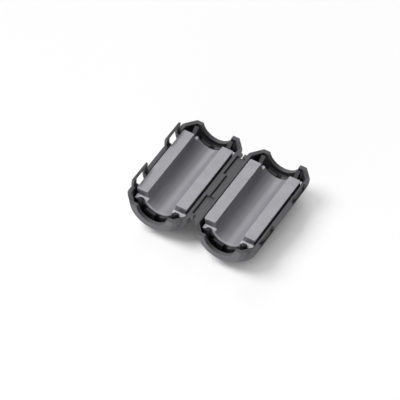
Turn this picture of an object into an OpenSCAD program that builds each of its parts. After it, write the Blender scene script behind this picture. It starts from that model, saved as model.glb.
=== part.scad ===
// Clip-on ferrite bead, lying open on its two rounded backs.
// Each half is a moulded shell that holds half of a split ferrite core. Two thin straps join the
// shells along one side. On the other side two loops snap over two catches when the case is shut.

/* [Core] */
// Outside diameter of the split core
core_d = 16; // [14:0.1:18]
// Length of the core over its end ledges
core_len = 28; // [24:0.5:36]
// Diameter of the bore that takes the cable
bore_d = 9; // [7:0.1:10]
// Length of the ledge at each end of a mating face
ledge_len = 1.5; // [1.2:0.1:2.5]
// Depth of the ledges below the mating faces
ledge_drop = 2.2; // [1.8:0.1:3]
// How much is ground off each side of the core
side_flat = 0.05; // [0.02:0.01:0.1]
// Corner round of the mating faces
face_round = 0.5; // [0.2:0.1:0.8]
// Chamfer at the two ends of the bore
bore_chamfer = 0.4; // [0.2:0.1:0.6]

/* [Case] */
// Room between the core and the case wall
core_room = 0.5; // [0.4:0.05:0.8]
// Thickness of the case wall
wall = 1.25; // [1.2:0.05:1.6]
// Room between a core end and its end wall
end_room = 2.8; // [2.6:0.1:4]
// Thickness of the end walls
end_wall = 1.2; // [1:0.1:1.6]
// Length of the taper at each end of the case
taper_len = 3.4; // [2.5:0.1:5]
// Round between the barrel and the tapers
taper_round = 2; // [0.5:0.1:2.5]
// Width of the flat ring around the cable opening
end_ring = 2; // [1.5:0.1:2.6]
// Round at the outer edge of that ring
end_round = 0.5; // [0.2:0.1:0.8]
// Radial clearance of the cable opening around the bore
opening_gap = 0.3; // [0.1:0.05:0.5]
// Drop of the case rims below the mating faces
rim_drop = 0.6; // [0.4:0.05:0.7]

/* [Core seat] */
// Clearance between the core and the ribs that it lies on
seat_gap = 0.05; // [0.02:0.01:0.15]
// Width of each seat rib along the case
seat_w = 1.5; // [1:0.1:3]
// Distance between the two seat ribs
seat_pitch = 18; // [10:0.5:20]
// Angle that a seat rib spans around the case
seat_span = 120; // [80:5:140]
// Clearance between a core end and its end stops
stop_gap = 0.15; // [0.05:0.05:0.3]
// Thickness of the end stops
stop_t = 0.9; // [0.6:0.1:1.2]
// Angle that one end stop spans
stop_span = 36; // [20:1:40]
// Angle of the slit between two end stops
stop_slit = 16; // [8:1:24]
// Radial step from the cable opening up to the stops
stop_step = 0.1; // [0.05:0.05:0.4]

/* [Claws] */
// Width of each claw across the case
claw_w = 1.2; // [0.8:0.1:1.4]
// Clearance between the cable opening and the claws
claw_side = 0.1; // [0.05:0.05:0.3]
// Thickness of a claw's post along the case
claw_t = 1.3; // [0.9:0.1:1.5]
// Clearance between a core end and the claws
claw_gap = 0.2; // [0.1:0.05:0.4]
// How far a claw reaches over the ledge
claw_bite = 0.5; // [0.3:0.1:1]
// Thickness of a claw at its tip
claw_tip = 0.5; // [0.3:0.05:0.7]
// Clearance between a claw and the ledge
hook_gap = 0.05; // [0.02:0.01:0.2]
// Drop of the claw tops below the mating faces
claw_drop = 0.1; // [0.05:0.05:0.5]
// Room around a claw in the window below its tip
window_gap = 0.1; // [0.05:0.05:0.3]

/* [Hinge] */
// Distance from the case wall to the fold line
fold_reach = 0.95; // [0.7:0.05:1.5]
// Gap between the two cores when the case is shut
fold_gap = 0.04; // [0.02:0.01:0.1]
// Width of the slot between the two rim flanges
slot_w = 0.63; // [0.4:0.01:0.9]
// Length of the rim flanges
flange_len = 27; // [26:0.5:28]
// Thickness of a flange at its edge
flange_t = 0.9; // [0.6:0.1:1.5]
// Height of the slope below a flange
flange_slope = 0.9; // [0.5:0.1:1.5]
// Length of the tongue between the two straps
tongue_len = 9; // [7:0.1:10]
// Length of each strap along the fold
strap_len = 7.7; // [6:0.1:8.2]
// Thickness of a strap at its roots
strap_t = 0.4; // [0.3:0.05:0.6]
// Thickness of a strap along the fold
strap_fold_t = 0.25; // [0.15:0.05:0.3]
// Width of the thinned part of a strap
strap_fold_w = 1.2; // [0.8:0.1:1.6]
// Drop of the straps below the rims
strap_drop = 0.6; // [0.4:0.05:0.9]
// Depth of the strap recess in the case wall
strap_root = 0.35; // [0.2:0.05:0.5]
// Clearance around a strap in its recess
strap_gap = 0.02; // [0.01:0.01:0.05]

/* [Latch] */
// Length of each latch loop
loop_len = 7.4; // [5:0.1:8]
// Distance between the centres of the two loops
loop_pitch = 17.4; // [14:0.1:18]
// Height of a loop above the rim
loop_rise = 2.9; // [2.6:0.05:3.2]
// Thickness of a loop above the rim
loop_t = 0.65; // [0.5:0.05:0.7]
// Width of each leg of a loop
leg_w = 1.7; // [1.2:0.1:2]
// Height of the bar across the top of a loop
bar_h = 0.9; // [0.5:0.05:1]
// Depth of the loop windows below the rim
window_drop = 3.3; // [2:0.1:4]
// Clearance around a shut loop in its pocket
latch_gap = 0.1; // [0.05:0.01:0.2]
// How far a catch stands out of its pocket
catch_out = 0.5; // [0.3:0.05:0.55]
// How far the blunt lip of a catch stands out at the rim
catch_lip = 0.1; // [0.05:0.05:0.2]

/* [Hidden] */
$fn = 96;
case_colour = "#2c2c2e";
core_colour = "#9a999f";

// Overlap that makes a cut or a join clean
eps = 0.5;

// Core and case
core_r = core_d / 2;
core_end = core_len / 2;
bore_r = bore_d / 2;
face_len = core_len - 2 * ledge_len;
inner_r = core_r + core_room;
case_r = inner_r + wall;
inner_end = core_end + end_room;
case_end = inner_end + end_wall;
opening_r = bore_r + opening_gap;
end_r = opening_r + end_ring;
taper_start = case_end - taper_len;
taper_slope = (case_r - end_r) / taper_len;
taper_wall = wall * sqrt(1 + taper_slope * taper_slope);
inner_taper_start = taper_start - (taper_wall - wall) / taper_slope;
inner_end_r = case_r - taper_slope * (inner_end - taper_start) - taper_wall;

// Fold line, with the mating faces level with the axis of each half
fold_x = case_r + fold_reach;
face_z = case_r;
recess_x = case_r - strap_root;
strap_y = (tongue_len + strap_len) / 2;
strap_top = face_z - rim_drop - strap_drop;

// Claws and end stops
claw_x = opening_r + claw_side + claw_w / 2;
claw_tip_y = core_end - claw_bite;
claw_post_y = core_end + claw_gap;
hook_low = hook_gap - ledge_drop;
stop_y = core_end + stop_gap;

// Latch, with heights measured from the mating faces
loop_top = loop_rise - rim_drop;
bar_low = loop_top - bar_h;
window_len = loop_len - 2 * leg_w;
loop_angle = asin(loop_top / case_r);
loop_r = case_r - loop_t;
pocket_r = loop_r - latch_gap;
pocket_len = loop_len + 2 * latch_gap;
pocket_angle = loop_angle + asin(latch_gap / case_r);
catch_len = window_len - 2 * latch_gap;
catch_low = bar_low - latch_gap;

function unit(v) = v / norm(v);

// Points of an arc that rounds corner b of the path a, b, c
function rounded(a, b, c, r, steps = 6) =
    let (u = unit(a - b), v = unit(c - b))
    let (half = acos(u * v) / 2, middle = b + unit(u + v) * r / sin(half))
    let (start = b + u * r / tan(half) - middle, turn = 180 - 2 * half)
    let (way = sign(u.y * v.x - u.x * v.y))
    [for (i = [0 : steps]) let (t = way * turn * i / steps)
        middle + [start.x * cos(t) - start.y * sin(t), start.x * sin(t) + start.y * cos(t)]];

// Solid of revolution about the axis of a half, from a half profile that is mirrored end to end
module revolve(profile) {
    other_end = [for (i = [len(profile) - 1 : -1 : 0]) [profile[i].x, -profile[i].y]];
    rotate([90, 0, 0]) rotate_extrude() polygon(concat(other_end, profile));
}

// Part of a ring about the axis of a half, angles from the hinge side upwards
module ring_part(r_in, r_out, from, to, length) {
    rotate([90, 0, 0]) rotate([0, 0, from]) rotate_extrude(angle = to - from)
        translate([r_in, -length / 2]) square([r_out - r_in, length]);
}

// Profile in the plane across the case, drawn out along the case
module along_case(points, length) {
    translate([0, length / 2, 0]) rotate([90, 0, 0]) linear_extrude(length) polygon(points);
}

// Children at both ends of the case
module both_ends() {
    for (end = [0, 1]) mirror([0, end, 0]) children();
}

// Closed outside of a whole case, barrel and tapers
module case_outside() {
    shoulder = [case_r, taper_start];
    ring_edge = [end_r, case_end];
    revolve(concat(
        rounded([case_r, 0], shoulder, ring_edge, taper_round),
        rounded(shoulder, ring_edge, [0, case_end], end_round),
        [[0, case_end]]
    ));
}

module case_inside() {
    revolve([
        [inner_r, inner_taper_start], [inner_end_r, inner_end], [0, inner_end],
    ]);
}

// Two ribs that the core lies on
module seat_ribs() {
    both_ends() translate([0, seat_pitch / 2, 0])
        ring_part(core_r + seat_gap, case_r - wall / 2, -90 - seat_span / 2, -90 + seat_span / 2, seat_w);
}

// Two short walls at each end that keep the core from sliding
module end_stops() {
    both_ends() for (side = [0, 1]) mirror([side, 0, 0]) translate([0, stop_y + stop_t / 2, 0])
        ring_part(opening_r + stop_step, case_r, -90 + stop_slit / 2, -90 + stop_slit / 2 + stop_span, stop_t);
}

// Sprung posts whose sloped tips hook over the ledges of the core
module claws() {
    outline = [
        [claw_post_y, -case_r], [claw_post_y, hook_low], [claw_tip_y, hook_low],
        [claw_tip_y, hook_low + claw_tip], [claw_post_y + claw_t, -claw_drop],
        [claw_post_y + claw_t, -case_r],
    ];
    both_ends() for (side = [-1, 1]) translate([side * claw_x - claw_w / 2, 0, 0])
        rotate([90, 0, 90]) linear_extrude(claw_w) polygon(outline);
}

// Holes in the barrel straight below the claw tips
module claw_windows() {
    width = claw_w + 2 * window_gap;
    length = claw_post_y - claw_tip_y + window_gap;
    both_ends() for (side = [-1, 1])
        translate([side * claw_x - width / 2, claw_tip_y - window_gap, -case_r - eps])
            cube([width, length, case_r - ledge_drop]);
}

// Lip that carries the rim out towards the fold line
module rim_flange() {
    edge = fold_x - slot_w / 2;
    root = case_r - wall / 2;
    low = -rim_drop - flange_t;
    along_case([[root, 0], [edge, 0], [edge, low], [root, low - flange_slope]], flange_len);
}

module strap_recesses() {
    length = strap_len + 2 * strap_gap;
    both_ends() translate([recess_x, strap_y - length / 2, -case_r])
        cube([fold_x, length, case_r + eps]);
}

// Half of the case with its hinge side at +X
module half_shell(loops = false) {
    difference() {
        union() {
            difference() {
                case_outside();
                case_inside();
            }
            intersection() {
                case_outside();
                union() {
                    seat_ribs();
                    end_stops();
                    claws();
                }
            }
            rim_flange();
        }
        rotate([90, 0, 0]) cylinder(r = opening_r, h = 2 * (case_end + eps), center = true);
        difference() {
            translate([-fold_x, -case_end - eps, -rim_drop]) cube([2 * fold_x, 2 * (case_end + eps), fold_x]);
            claws();
            if (loops) latch_loops();
        }
        if (loops) loop_windows();
        strap_recesses();
        claw_windows();
    }
}

// Where the outside of the wall is left standing above the rim as loops
module latch_loops() {
    both_ends() translate([0, loop_pitch / 2, 0])
        ring_part(loop_r, case_r + eps, 180 - loop_angle, 180 + loop_angle, loop_len);
}

// Openings through the loops and the wall below them
module loop_windows() {
    height = window_drop + rim_drop + bar_low;
    both_ends() translate([-case_r - eps, loop_pitch / 2 - window_len / 2, bar_low - height])
        cube([case_r - core_r + eps, window_len, height]);
}

// Recesses that take the shut loops
module catch_pockets() {
    both_ends() translate([0, loop_pitch / 2, 0])
        ring_part(pocket_r, case_r + eps, 180 - pocket_angle, 180 + pocket_angle, pocket_len);
}

// Wedges that the bars of the loops snap over
module catches() {
    root = (inner_r + pocket_r) / 2;
    both_ends() translate([0, loop_pitch / 2, 0]) along_case([
        [-sqrt(root * root - rim_drop * rim_drop), -rim_drop], [-pocket_r - catch_lip, -rim_drop],
        [-pocket_r - catch_out, -catch_low], [-sqrt(root * root - catch_low * catch_low), -catch_low],
    ], catch_len);
}

// Half core with its mating faces up
module half_core() {
    half_width = core_r - side_flat;
    half_length = face_len / 2;
    corner = [half_width, half_length];
    far_side = rounded([half_width, 0], corner, [0, half_length], face_round);
    right_side = concat([for (i = [len(far_side) - 1 : -1 : 0]) [far_side[i].x, -far_side[i].y]], far_side);
    outline = concat(right_side, [for (i = [len(right_side) - 1 : -1 : 0]) [-right_side[i].x, right_side[i].y]]);
    difference() {
        intersection() {
            rotate([90, 0, 0]) cylinder(r = core_r, h = core_len, center = true);
            union() {
                translate([-half_width, -core_end - eps, -core_d])
                    cube([2 * half_width, core_len + 2 * eps, core_d - ledge_drop]);
                translate([0, 0, -ledge_drop - eps]) linear_extrude(ledge_drop + eps) polygon(outline);
            }
        }
        rotate([90, 0, 0]) cylinder(r = bore_r, h = core_len + 2 * eps, center = true);
        both_ends() translate([0, core_end - bore_chamfer, 0]) rotate([-90, 0, 0])
            cylinder(r1 = bore_r, r2 = bore_r + bore_chamfer + eps, h = bore_chamfer + eps);
    }
}

module on_left() {
    translate([-fold_x, 0, face_z]) children();
}

module on_right() {
    translate([fold_x, 0, face_z]) mirror([1, 0, 0]) children();
}

module left_shell() {
    color(case_colour) on_left() half_shell(loops = true);
}

module right_shell() {
    color(case_colour) on_right() {
        difference() {
            half_shell();
            catch_pockets();
        }
        catches();
    }
}

// Living hinge: a strip thinned along its middle, so that it folds there
module hinge_strap(y) {
    half_width = fold_reach + strap_root - strap_gap;
    thinning = strap_t - strap_fold_t;
    groove_r = (strap_fold_w * strap_fold_w / 4 + thinning * thinning) / (2 * thinning);
    color(case_colour) translate([0, y, strap_top - strap_t]) difference() {
        translate([-half_width, -strap_len / 2, 0]) cube([2 * half_width, strap_len, strap_t]);
        translate([0, 0, thinning - groove_r]) rotate([90, 0, 0])
            cylinder(r = groove_r, h = strap_len + 2 * eps, center = true);
    }
}

module front_hinge_strap() {
    hinge_strap(-strap_y);
}

module rear_hinge_strap() {
    hinge_strap(strap_y);
}

module left_core() {
    color(core_colour) on_left() half_core();
}

module right_core() {
    color(core_colour) on_right() half_core();
}

left_shell();
right_shell();
front_hinge_strap();
rear_hinge_strap();
left_core();
right_core();
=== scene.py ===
import math

import bmesh
import bpy
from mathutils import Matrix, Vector


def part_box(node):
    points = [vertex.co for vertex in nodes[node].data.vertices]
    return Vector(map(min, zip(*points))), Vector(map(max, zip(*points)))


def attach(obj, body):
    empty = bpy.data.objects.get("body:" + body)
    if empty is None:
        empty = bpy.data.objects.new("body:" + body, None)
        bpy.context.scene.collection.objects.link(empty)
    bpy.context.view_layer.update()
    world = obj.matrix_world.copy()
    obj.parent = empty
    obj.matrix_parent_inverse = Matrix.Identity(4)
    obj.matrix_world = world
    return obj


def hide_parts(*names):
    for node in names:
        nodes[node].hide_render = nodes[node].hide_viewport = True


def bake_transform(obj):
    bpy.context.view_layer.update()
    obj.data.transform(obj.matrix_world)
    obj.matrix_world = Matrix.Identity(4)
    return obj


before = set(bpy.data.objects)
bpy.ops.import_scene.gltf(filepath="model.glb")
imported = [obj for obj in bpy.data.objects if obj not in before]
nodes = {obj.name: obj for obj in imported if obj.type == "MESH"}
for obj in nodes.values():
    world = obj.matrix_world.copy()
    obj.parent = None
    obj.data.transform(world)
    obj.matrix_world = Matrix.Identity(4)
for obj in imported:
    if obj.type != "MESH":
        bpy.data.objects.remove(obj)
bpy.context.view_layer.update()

MM = 0.001
scene = bpy.context.scene
core_low, core_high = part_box("right_core")


def srgb(code):
    """Linear colour of an sRGB hex value."""
    parts = [int(code[i:i + 2], 16) / 255 for i in (1, 3, 5)]
    return [c / 12.92 if c <= 0.04045 else ((c + 0.055) / 1.055) ** 2.4 for c in parts] + [1.0]


def add(tree, kind, settings=None, links=None):
    """Adds a node, sets its properties and sockets by name, and links its inputs.

    The setting "stops" holds a colour ramp's pairs of position and hex colour.
    """
    made = tree.nodes.new(kind)
    for name, value in (settings or {}).items():
        if name == "stops":
            for point, (position, code) in zip(made.color_ramp.elements, value):
                point.position = position
                point.color = srgb(code)
        elif isinstance(name, str) and name in made.bl_rna.properties:
            setattr(made, name, value)
        else:
            made.inputs[name].default_value = value
    for name, source in (links or {}).items():
        tree.links.new(source, made.inputs[name])
    return made


def new_material(name):
    """An empty material and its node tree."""
    made = bpy.data.materials.new(name)
    made.use_nodes = True
    made.node_tree.nodes.clear()
    return made, made.node_tree


def shown_directly(tree):
    """1 for rays that show a surface to the eye: direct, mirrored or through."""
    rays = add(tree, "ShaderNodeLightPath")
    seen = add(tree, "ShaderNodeMath", {"operation": "MAXIMUM"}, {
        0: rays.outputs["Is Camera Ray"], 1: rays.outputs["Is Glossy Ray"]})
    return add(tree, "ShaderNodeMath", {"operation": "MAXIMUM"}, {
        0: seen.outputs["Value"], 1: rays.outputs["Is Transmission Ray"]}).outputs["Value"]


# Sockets of a colour Mix node, whose names stand for several sockets each
FACTOR, COLOUR_A, COLOUR_B, MIXED = 0, 6, 7, 2

# Noise stays mostly between these values, so ramps run from one to the other
NOISE_LOW, NOISE_HIGH = 0.3, 0.7


# Black nylon 66 from a spark-eroded mould: near black, satin, with an even fine grain
# that breaks up the sheen and greys it, and faint clouding where the melt flowed. The core
# side of the mould is polished, so the inside of each shell is smoother; its deeper black there is
# painted shade.
NYLON_IOR = 1.53
NYLON_GLOSS = 0.24          # the grain scatters part of the mirror light
NYLON_GRAIN = 0.35 * MM     # the real grain is about 0.08 mm, too fine for this picture
NYLON_FLOW = 5 * MM
NYLON_RELIEF = 0.03 * MM
GRAINED_TONES = ("#4A4A4C", "#525254")
# darker tones inside the shells: painted shade
INSIDE_SHADE_TONES = ("#323234", "#39393B")
GRAINED_ROUGHNESS = (0.46, 0.60)
POLISHED_ROUGHNESS = (0.26, 0.36)
GRAINED_BUMP = 0.25
POLISHED_BUMP = 0.05
HALF_AXIS = ((core_low.x + core_high.x) / 2, 0.0, core_high.z)
INSIDE_RADIUS = (core_high.x - core_low.x) / 2 + 0.65 * MM
INSIDE_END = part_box("right_shell")[1].y - 1.3 * MM
INSIDE_FADE = 0.2 * MM


def moulded_nylon():
    made, tree = new_material("moulded_nylon")
    place = add(tree, "ShaderNodeTexCoord").outputs["Object"]
    flow = add(tree, "ShaderNodeTexNoise", {
        "Scale": 1 / NYLON_FLOW, "Detail": 3.0, "Roughness": 0.6}, {"Vector": place})
    grain = add(tree, "ShaderNodeTexNoise", {
        "Scale": 1 / NYLON_GRAIN, "Detail": 2.0, "Roughness": 0.5}, {"Vector": place})

    # 0 inside a shell and 1 outside, by the distance from the half's axis and along it
    folded = add(tree, "ShaderNodeVectorMath", {"operation": "ABSOLUTE"}, {0: place})
    across = add(tree, "ShaderNodeVectorMath", {"operation": "MULTIPLY", 1: (1, 0, 1)}, {
        0: folded.outputs["Vector"]})
    radius = add(tree, "ShaderNodeVectorMath", {"operation": "DISTANCE", 1: HALF_AXIS}, {
        0: across.outputs["Vector"]})
    along = add(tree, "ShaderNodeSeparateXYZ", links={"Vector": folded.outputs["Vector"]})
    beyond_wall = add(tree, "ShaderNodeMapRange", {
        "From Min": INSIDE_RADIUS, "From Max": INSIDE_RADIUS + INSIDE_FADE},
        {"Value": radius.outputs["Value"]})
    beyond_end = add(tree, "ShaderNodeMapRange", {
        "From Min": INSIDE_END, "From Max": INSIDE_END + INSIDE_FADE},
        {"Value": along.outputs["Y"]})
    outside = add(tree, "ShaderNodeMath", {"operation": "MAXIMUM"}, {
        0: beyond_wall.outputs["Result"], 1: beyond_end.outputs["Result"]}).outputs["Value"]

    # The darker ramp inside the shells is painted shade; the grained outside keeps the nylon's own
    # tone
    grained, inside_shade = [
        add(tree, "ShaderNodeValToRGB", {"stops": list(zip((NOISE_LOW, NOISE_HIGH), tones))},
            {"Fac": flow.outputs["Fac"]}) for tones in (GRAINED_TONES, INSIDE_SHADE_TONES)]
    tone = add(tree, "ShaderNodeMix", {"data_type": "RGBA"}, {
        FACTOR: outside, COLOUR_A: inside_shade.outputs["Color"], COLOUR_B: grained.outputs["Color"]})
    satin, polish = [
        add(tree, "ShaderNodeMapRange", {
            "From Min": NOISE_LOW, "From Max": NOISE_HIGH, "To Min": low, "To Max": high},
            {"Value": noise.outputs["Fac"]})
        for noise, (low, high) in ((grain, GRAINED_ROUGHNESS), (flow, POLISHED_ROUGHNESS))]
    sheen = add(tree, "ShaderNodeMapRange", links={
        "Value": outside, "To Min": polish.outputs["Result"], "To Max": satin.outputs["Result"]})
    depth = add(tree, "ShaderNodeMapRange", {"To Min": POLISHED_BUMP, "To Max": GRAINED_BUMP},
                {"Value": outside})
    relief = add(tree, "ShaderNodeBump", {"Distance": NYLON_RELIEF}, {
        "Strength": depth.outputs["Result"], "Height": grain.outputs["Fac"]})
    shader = add(tree, "ShaderNodeBsdfPrincipled", {
        "IOR": NYLON_IOR, "Specular IOR Level": NYLON_GLOSS}, {
        "Base Color": tone.outputs[MIXED], "Roughness": sheen.outputs["Result"],
        "Normal": relief.outputs["Normal"]})
    add(tree, "ShaderNodeOutputMaterial", links={"Surface": shader.outputs["BSDF"]})
    return made


# Nickel-zinc ferrite, pressed and fired: a dull cool grey. The mating faces are ground,
# so they are lighter, drier and finely speckled with pores; the bore keeps the darker,
# smoother skin of the kiln, which shows a soft streak of light. The upright end faces are
# painted darker still, as painted shade, and the ledges at both ends are painted pale, as a painted
# highlight.
FERRITE_IOR = 1.9
FERRITE_GLOSS = 0.3         # ground and fired ceramic scatters much of its mirror light
FERRITE_SPECKLE = 0.3 * MM  # the real grains are about 0.02 mm, too fine for this picture
FERRITE_CLOUD = 3 * MM
FERRITE_PORE = 0.9 * MM
FERRITE_STREAK = 0.8 * MM   # width of the marks the press tool leaves along the bore
STREAK_STRETCH = (1.0, 0.03, 1.0)
STREAK_SHARE = 0.6
FERRITE_RELIEF = 0.03 * MM
FERRITE_BUMP = 0.2
FIRED_ROUGHNESS = 0.42
GROUND_ROUGHNESS = 0.6
FIRED_STOPS = [(NOISE_LOW, "#737278"), (NOISE_HIGH, "#85848A")]
# painted shade on the upright end faces
END_SHADE_STOPS = [(NOISE_LOW, "#56555B"), (NOISE_HIGH, "#626167")]
GROUND_STOPS = [(0.32, "#8D8C92"), (0.68, "#A1A0A6")]
# painted highlight on the ledges
LEDGE_HIGHLIGHT_STOPS = [(0.32, "#AEADB2"), (0.68, "#C0BFC4")]
PORE_EDGE = (0.05, 0.14)    # shares of a pore's spacing between which its dark spot fades
PORE_DARK = 0.75

GROUND_FROM = core_high.z - 0.08 * MM
GROUND_FADE = 0.05 * MM
LEDGE_FROM = core_high.z - 2.6 * MM
LEDGE_FADE = 0.1 * MM
LEDGE_BELOW = 0.3 * MM
LEDGE_UPWARD = (0.9, 0.98)  # upward part of the normal between which a face becomes a ledge
END_FACING = (0.7, 0.9)     # lengthwise part of the normal between which a face is an end


def sintered_ferrite():
    made, tree = new_material("sintered_ferrite")
    coords = add(tree, "ShaderNodeTexCoord")
    place = coords.outputs["Object"]
    facing = add(tree, "ShaderNodeSeparateXYZ", links={"Vector": coords.outputs["Normal"]})
    where = add(tree, "ShaderNodeSeparateXYZ", links={"Vector": place})

    # Masks for the ground faces, the ledges with their painted highlight and the upright end faces
    # with their painted shade
    ground = add(tree, "ShaderNodeMapRange", {
        "From Min": GROUND_FROM, "From Max": GROUND_FROM + GROUND_FADE},
        {"Value": where.outputs["Z"]}).outputs["Result"]
    # The ledges are painted pale: a painted highlight
    ledge_highlight = add(tree, "ShaderNodeMapRange", {
        "From Min": LEDGE_FROM, "From Max": LEDGE_FROM + LEDGE_FADE},
        {"Value": where.outputs["Z"]}).outputs["Result"]
    limits = (
        ("Z", facing, LEDGE_UPWARD[0], LEDGE_UPWARD[1]),
        ("Z", where, GROUND_FROM, GROUND_FROM - LEDGE_BELOW),
    )
    for axis, source, low, high in limits:
        limit = add(tree, "ShaderNodeMapRange", {"From Min": low, "From Max": high},
                    {"Value": source.outputs[axis]})
        ledge_highlight = add(tree, "ShaderNodeMath", {"operation": "MULTIPLY"}, {
            0: ledge_highlight, 1: limit.outputs["Result"]}).outputs["Value"]
    # The upright end faces are painted darker: painted shade
    turned = add(tree, "ShaderNodeMath", {"operation": "ABSOLUTE"}, {0: facing.outputs["Y"]})
    end_shade = add(tree, "ShaderNodeMapRange", {
        "From Min": END_FACING[0], "From Max": END_FACING[1]},
        {"Value": turned.outputs["Value"]}).outputs["Result"]

    cloud = add(tree, "ShaderNodeTexNoise", {
        "Scale": 1 / FERRITE_CLOUD, "Detail": 4.0, "Roughness": 0.6}, {"Vector": place})
    speckle = add(tree, "ShaderNodeTexNoise", {
        "Scale": 1 / FERRITE_SPECKLE, "Detail": 2.0, "Roughness": 0.6}, {"Vector": place})
    pores = add(tree, "ShaderNodeTexVoronoi", {
        "Scale": 1 / FERRITE_PORE, "Randomness": 1.0}, {"Vector": place})
    mottle = add(tree, "ShaderNodeMix", {"data_type": "FLOAT", "Factor": 0.5}, {
        "A": cloud.outputs["Fac"], "B": speckle.outputs["Fac"]}).outputs["Result"]
    drawn = add(tree, "ShaderNodeMapping", {"Scale": STREAK_STRETCH}, {"Vector": place})
    streak = add(tree, "ShaderNodeTexNoise", {
        "Scale": 1 / FERRITE_STREAK, "Detail": 3.0, "Roughness": 0.6},
        {"Vector": drawn.outputs["Vector"]})
    skin = add(tree, "ShaderNodeMix", {"data_type": "FLOAT", "Factor": STREAK_SHARE}, {
        "A": mottle, "B": streak.outputs["Fac"]}).outputs["Result"]

    tone = add(tree, "ShaderNodeValToRGB", {"stops": FIRED_STOPS}, {"Fac": skin}).outputs["Color"]
    # The ground faces get their ground finish, the ledges a painted highlight and the end faces
    # painted shade
    finish_and_shade_tones = ((ground, mottle, GROUND_STOPS), (ledge_highlight, mottle, LEDGE_HIGHLIGHT_STOPS), (end_shade, skin, END_SHADE_STOPS))
    for mask, pattern, stops in finish_and_shade_tones:
        finish_and_shade_ramp = add(tree, "ShaderNodeValToRGB", {"stops": stops}, {"Fac": pattern})
        tone = add(tree, "ShaderNodeMix", {"data_type": "RGBA"}, {
            FACTOR: mask, COLOUR_A: tone, COLOUR_B: finish_and_shade_ramp.outputs["Color"]}).outputs[MIXED]
    pits = add(tree, "ShaderNodeMapRange", {
        "From Min": PORE_EDGE[0], "From Max": PORE_EDGE[1], "To Min": PORE_DARK, "To Max": 1.0},
        {"Value": pores.outputs["Distance"]}).outputs["Result"]
    dotted = add(tree, "ShaderNodeMix", {
        "data_type": "RGBA", "blend_type": "MULTIPLY", FACTOR: 1.0},
        {COLOUR_A: tone, COLOUR_B: pits})

    dry = add(tree, "ShaderNodeMapRange", {
        "To Min": FIRED_ROUGHNESS, "To Max": GROUND_ROUGHNESS}, {"Value": ground})
    height = add(tree, "ShaderNodeMath", {"operation": "MULTIPLY"}, {
        0: speckle.outputs["Fac"], 1: pits})
    relief = add(tree, "ShaderNodeBump", {"Strength": FERRITE_BUMP, "Distance": FERRITE_RELIEF},
                 {"Height": height.outputs["Value"]})
    shader = add(tree, "ShaderNodeBsdfPrincipled", {
        "IOR": FERRITE_IOR, "Specular IOR Level": FERRITE_GLOSS}, {
        "Base Color": dotted.outputs[MIXED], "Roughness": dry.outputs["Result"],
        "Normal": relief.outputs["Normal"]})
    add(tree, "ShaderNodeOutputMaterial", links={"Surface": shader.outputs["BSDF"]})
    return made


nylon = moulded_nylon()
ferrite = sintered_ferrite()


# Moulded and fired edges are never sharp, so a copy of each solid with every hard edge
# rounded stands for its node.
NYLON_EDGE = 0.14 * MM
FERRITE_EDGE = 0.16 * MM
EDGE_SEGMENTS = 3
HARD_ANGLE = math.radians(35)
FLAT_ANGLE = math.radians(0.5)
JOIN = 0.001 * MM


def rounded(node, body, material, width):
    form = bmesh.new()
    form.from_mesh(nodes[node].data)
    bmesh.ops.remove_doubles(form, verts=form.verts, dist=JOIN)
    bmesh.ops.dissolve_limit(form, angle_limit=FLAT_ANGLE, verts=form.verts, edges=form.edges)
    mesh = bpy.data.meshes.new(node + "_rounded")
    form.to_mesh(mesh)
    form.free()
    if "custom_normal" in mesh.attributes:
        mesh.attributes.remove(mesh.attributes["custom_normal"])
    mesh.shade_smooth()
    mesh.materials.clear()
    mesh.materials.append(material)
    piece = bpy.data.objects.new(node + "_rounded", mesh)
    scene.collection.objects.link(piece)
    edge = piece.modifiers.new("edge", "BEVEL")
    edge.width = width
    edge.segments = EDGE_SEGMENTS
    edge.limit_method = "ANGLE"
    edge.angle_limit = HARD_ANGLE
    edge.miter_outer = "MITER_ARC"
    edge.use_clamp_overlap = True
    piece.modifiers.new("normals", "WEIGHTED_NORMAL")
    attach(piece, body)
    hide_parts(node)


for side in ("left", "right"):
    rounded(side + "_shell", side + "_half", nylon, NYLON_EDGE)
    rounded(side + "_core", side + "_half", ferrite, FERRITE_EDGE)


# Each hinge strap is a thin web of the same nylon, thinned along the fold by a rounded
# groove underneath.
STRAP_COLUMNS = 64
STRAP_ROUND = 0.06 * MM
STRAP_HARD_ANGLE = math.radians(50)
FOLD_WIDTH = 1.2 * MM
FOLD_THIN = 0.25 * MM


def hinge_strap(node):
    low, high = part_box(node)
    made = bmesh.new()
    rows = []
    for i in range(STRAP_COLUMNS + 1):
        x = low.x + (high.x - low.x) * i / STRAP_COLUMNS
        reach = min(1.0, abs(x) / (FOLD_WIDTH / 2))
        thin = FOLD_THIN + (high.z - low.z - FOLD_THIN) * (1 - math.cos(math.pi * reach)) / 2
        rows.append([made.verts.new((x, y, z)) for y, z in (
            (low.y, high.z - thin), (high.y, high.z - thin), (high.y, high.z), (low.y, high.z))])
    for one, two in zip(rows, rows[1:]):
        for k in range(4):
            made.faces.new((one[k], two[k], two[(k + 1) % 4], one[(k + 1) % 4]))
    made.faces.new(rows[0])
    made.faces.new(rows[-1][::-1])
    bmesh.ops.recalc_face_normals(made, faces=made.faces)
    hard = [e for e in made.edges if e.calc_face_angle(0) > STRAP_HARD_ANGLE]
    bmesh.ops.bevel(made, geom=hard, offset=STRAP_ROUND, segments=2, profile=0.5, affect="EDGES")
    mesh = bpy.data.meshes.new(node + "_web")
    made.to_mesh(mesh)
    made.free()
    mesh.shade_smooth()
    mesh.materials.append(nylon)
    web = bpy.data.objects.new(node + "_web", mesh)
    scene.collection.objects.link(web)
    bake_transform(web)
    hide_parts(node)


hinge_strap("front_hinge_strap")
hinge_strap("rear_hinge_strap")


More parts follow.
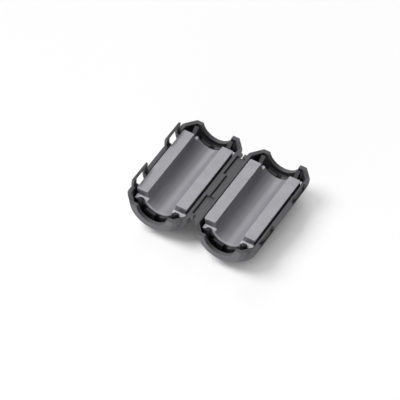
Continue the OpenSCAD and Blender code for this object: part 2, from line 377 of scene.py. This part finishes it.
# Matt white paper, faintly clouded by its fibres. Where nothing stands close, part of it
# glows plain white, a painted light that lightens the shadow, so only the shadow near the object
# stays dark.
PAPER_FIBRE = 0.6 * MM
PAPER_ROUGHNESS = 0.9
PAPER_STOPS = [(NOISE_LOW, "#FCFCFC"), (NOISE_HIGH, "#FEFEFE")]
PAPER_WHITE = 0.6
PAPER_NEAR = 12 * MM
PAPER_OPEN = (0.2, 0.8)     # openness of the paper between which it turns plain white
WHITE = "#FFFFFF"


def white_paper():
    made, tree = new_material("white_paper")
    place = add(tree, "ShaderNodeTexCoord").outputs["Object"]
    fibre = add(tree, "ShaderNodeTexNoise", {"Scale": 1 / PAPER_FIBRE, "Detail": 2.0},
                {"Vector": place})
    tone = add(tree, "ShaderNodeValToRGB", {"stops": PAPER_STOPS}, {"Fac": fibre.outputs["Fac"]})
    sheet = add(tree, "ShaderNodeBsdfPrincipled", {
        "Roughness": PAPER_ROUGHNESS, "Specular IOR Level": 0.0},
        {"Base Color": tone.outputs["Color"]})
    # The white glow is painted light, kept off the paper near the object by the occlusion
    near = add(tree, "ShaderNodeAmbientOcclusion", {"samples": 16, "Distance": PAPER_NEAR})
    clear = add(tree, "ShaderNodeMapRange", {
        "From Min": PAPER_OPEN[0], "From Max": PAPER_OPEN[1], "To Max": PAPER_WHITE},
        {"Value": near.outputs["AO"]})
    share = add(tree, "ShaderNodeMath", {"operation": "MULTIPLY"}, {
        0: clear.outputs["Result"], 1: shown_directly(tree)})
    painted_glow = add(tree, "ShaderNodeEmission", {"Color": srgb(WHITE), "Strength": 1.0})
    both = add(tree, "ShaderNodeMixShader", links={
        0: share.outputs["Value"], 1: sheet.outputs["BSDF"], 2: painted_glow.outputs["Emission"]})
    add(tree, "ShaderNodeOutputMaterial", links={"Surface": both.outputs["Shader"]})
    return made


# The sheet of paper on the table, which keeps the shadow
FLOOR_HALF = 2.0
floor_mesh = bpy.data.meshes.new("floor")
floor_corners = [(x * FLOOR_HALF, y * FLOOR_HALF, 0) for x, y in ((-1, -1), (1, -1), (1, 1), (-1, 1))]
floor_mesh.from_pydata(floor_corners, [], [(0, 1, 2, 3)])
floor_mesh.materials.append(white_paper())
floor = bpy.data.objects.new("floor", floor_mesh)
scene.collection.objects.link(floor)

# A white room: full strength where it is seen directly, mirrored or through, low as fill
FILL = 0.05
world = bpy.data.worlds.new("studio")
scene.world = world
world.use_nodes = True
sky = world.node_tree
sky.nodes.clear()
fill = add(sky, "ShaderNodeBackground", {"Color": srgb(WHITE), "Strength": FILL})
white = add(sky, "ShaderNodeBackground", {"Color": srgb(WHITE), "Strength": 1.0})
room = add(sky, "ShaderNodeMixShader", links={
    0: shown_directly(sky), 1: fill.outputs["Background"], 2: white.outputs["Background"]})
add(sky, "ShaderNodeOutputWorld", links={"Surface": room.outputs["Shader"]})


def lamp(name, kind, place, settings):
    """A lamp at a place, turned towards the object."""
    data = bpy.data.lights.new(name, kind)
    for key, value in settings.items():
        setattr(data, key, value)
    made = bpy.data.objects.new(name, data)
    made.location = place
    made.rotation_euler = (-Vector(place)).to_track_quat("-Z", "Y").to_euler()
    scene.collection.objects.link(made)


# A large soft key from the left, a weaker soft light from the back left that makes the
# streak in the bores, and a low white card in front
KEY_FROM = (-0.54, -0.18, 0.84)
BACK_FROM = (-0.53, 0.565, 0.632)
CARD_PLACE = (0.0, -350 * MM, 22 * MM)
lamp("key", "SUN", KEY_FROM, {"energy": 3.05, "angle": math.radians(34)})
lamp("back_softbox", "SUN", BACK_FROM, {"energy": 0.5, "angle": math.radians(30)})
lamp("front_card", "AREA", CARD_PLACE, {
    "energy": 1.4, "shape": "RECTANGLE", "size": 400 * MM, "size_y": 40 * MM})

# The photograph's view: the middle of the fold, level with the cores' tops, is at TARGET_PIXEL
VIEW_AZIMUTH = 30.75
VIEW_ELEVATION = 48.9
VIEW_DISTANCE = 800 * MM
PIXELS_PER_M = 3661
FRAME_PIXELS = 400
SENSOR = 36.0
TARGET_PIXEL = (218.9, 184.2)

azimuth = math.radians(VIEW_AZIMUTH)
elevation = math.radians(VIEW_ELEVATION)
right = Vector((math.cos(azimuth), math.sin(azimuth), 0))
forward = Vector((-math.sin(azimuth) * math.cos(elevation),
                  math.cos(azimuth) * math.cos(elevation), -math.sin(elevation)))
up = right.cross(forward)
aim = Vector((0, 0, core_high.z)) + right * (FRAME_PIXELS / 2 - TARGET_PIXEL[0]) / PIXELS_PER_M
aim -= up * (FRAME_PIXELS / 2 - TARGET_PIXEL[1]) / PIXELS_PER_M

camera = bpy.data.cameras.new("camera")
camera.sensor_width = SENSOR
camera.lens = PIXELS_PER_M * VIEW_DISTANCE * SENSOR / FRAME_PIXELS
camera_object = bpy.data.objects.new("camera", camera)
camera_object.location = aim - forward * VIEW_DISTANCE
camera_object.rotation_euler = forward.to_track_quat("-Z", "Y").to_euler()
scene.collection.objects.link(camera_object)
scene.camera = camera_object
scene.view_settings.view_transform = "Standard"

bpy.context.view_layer.update()
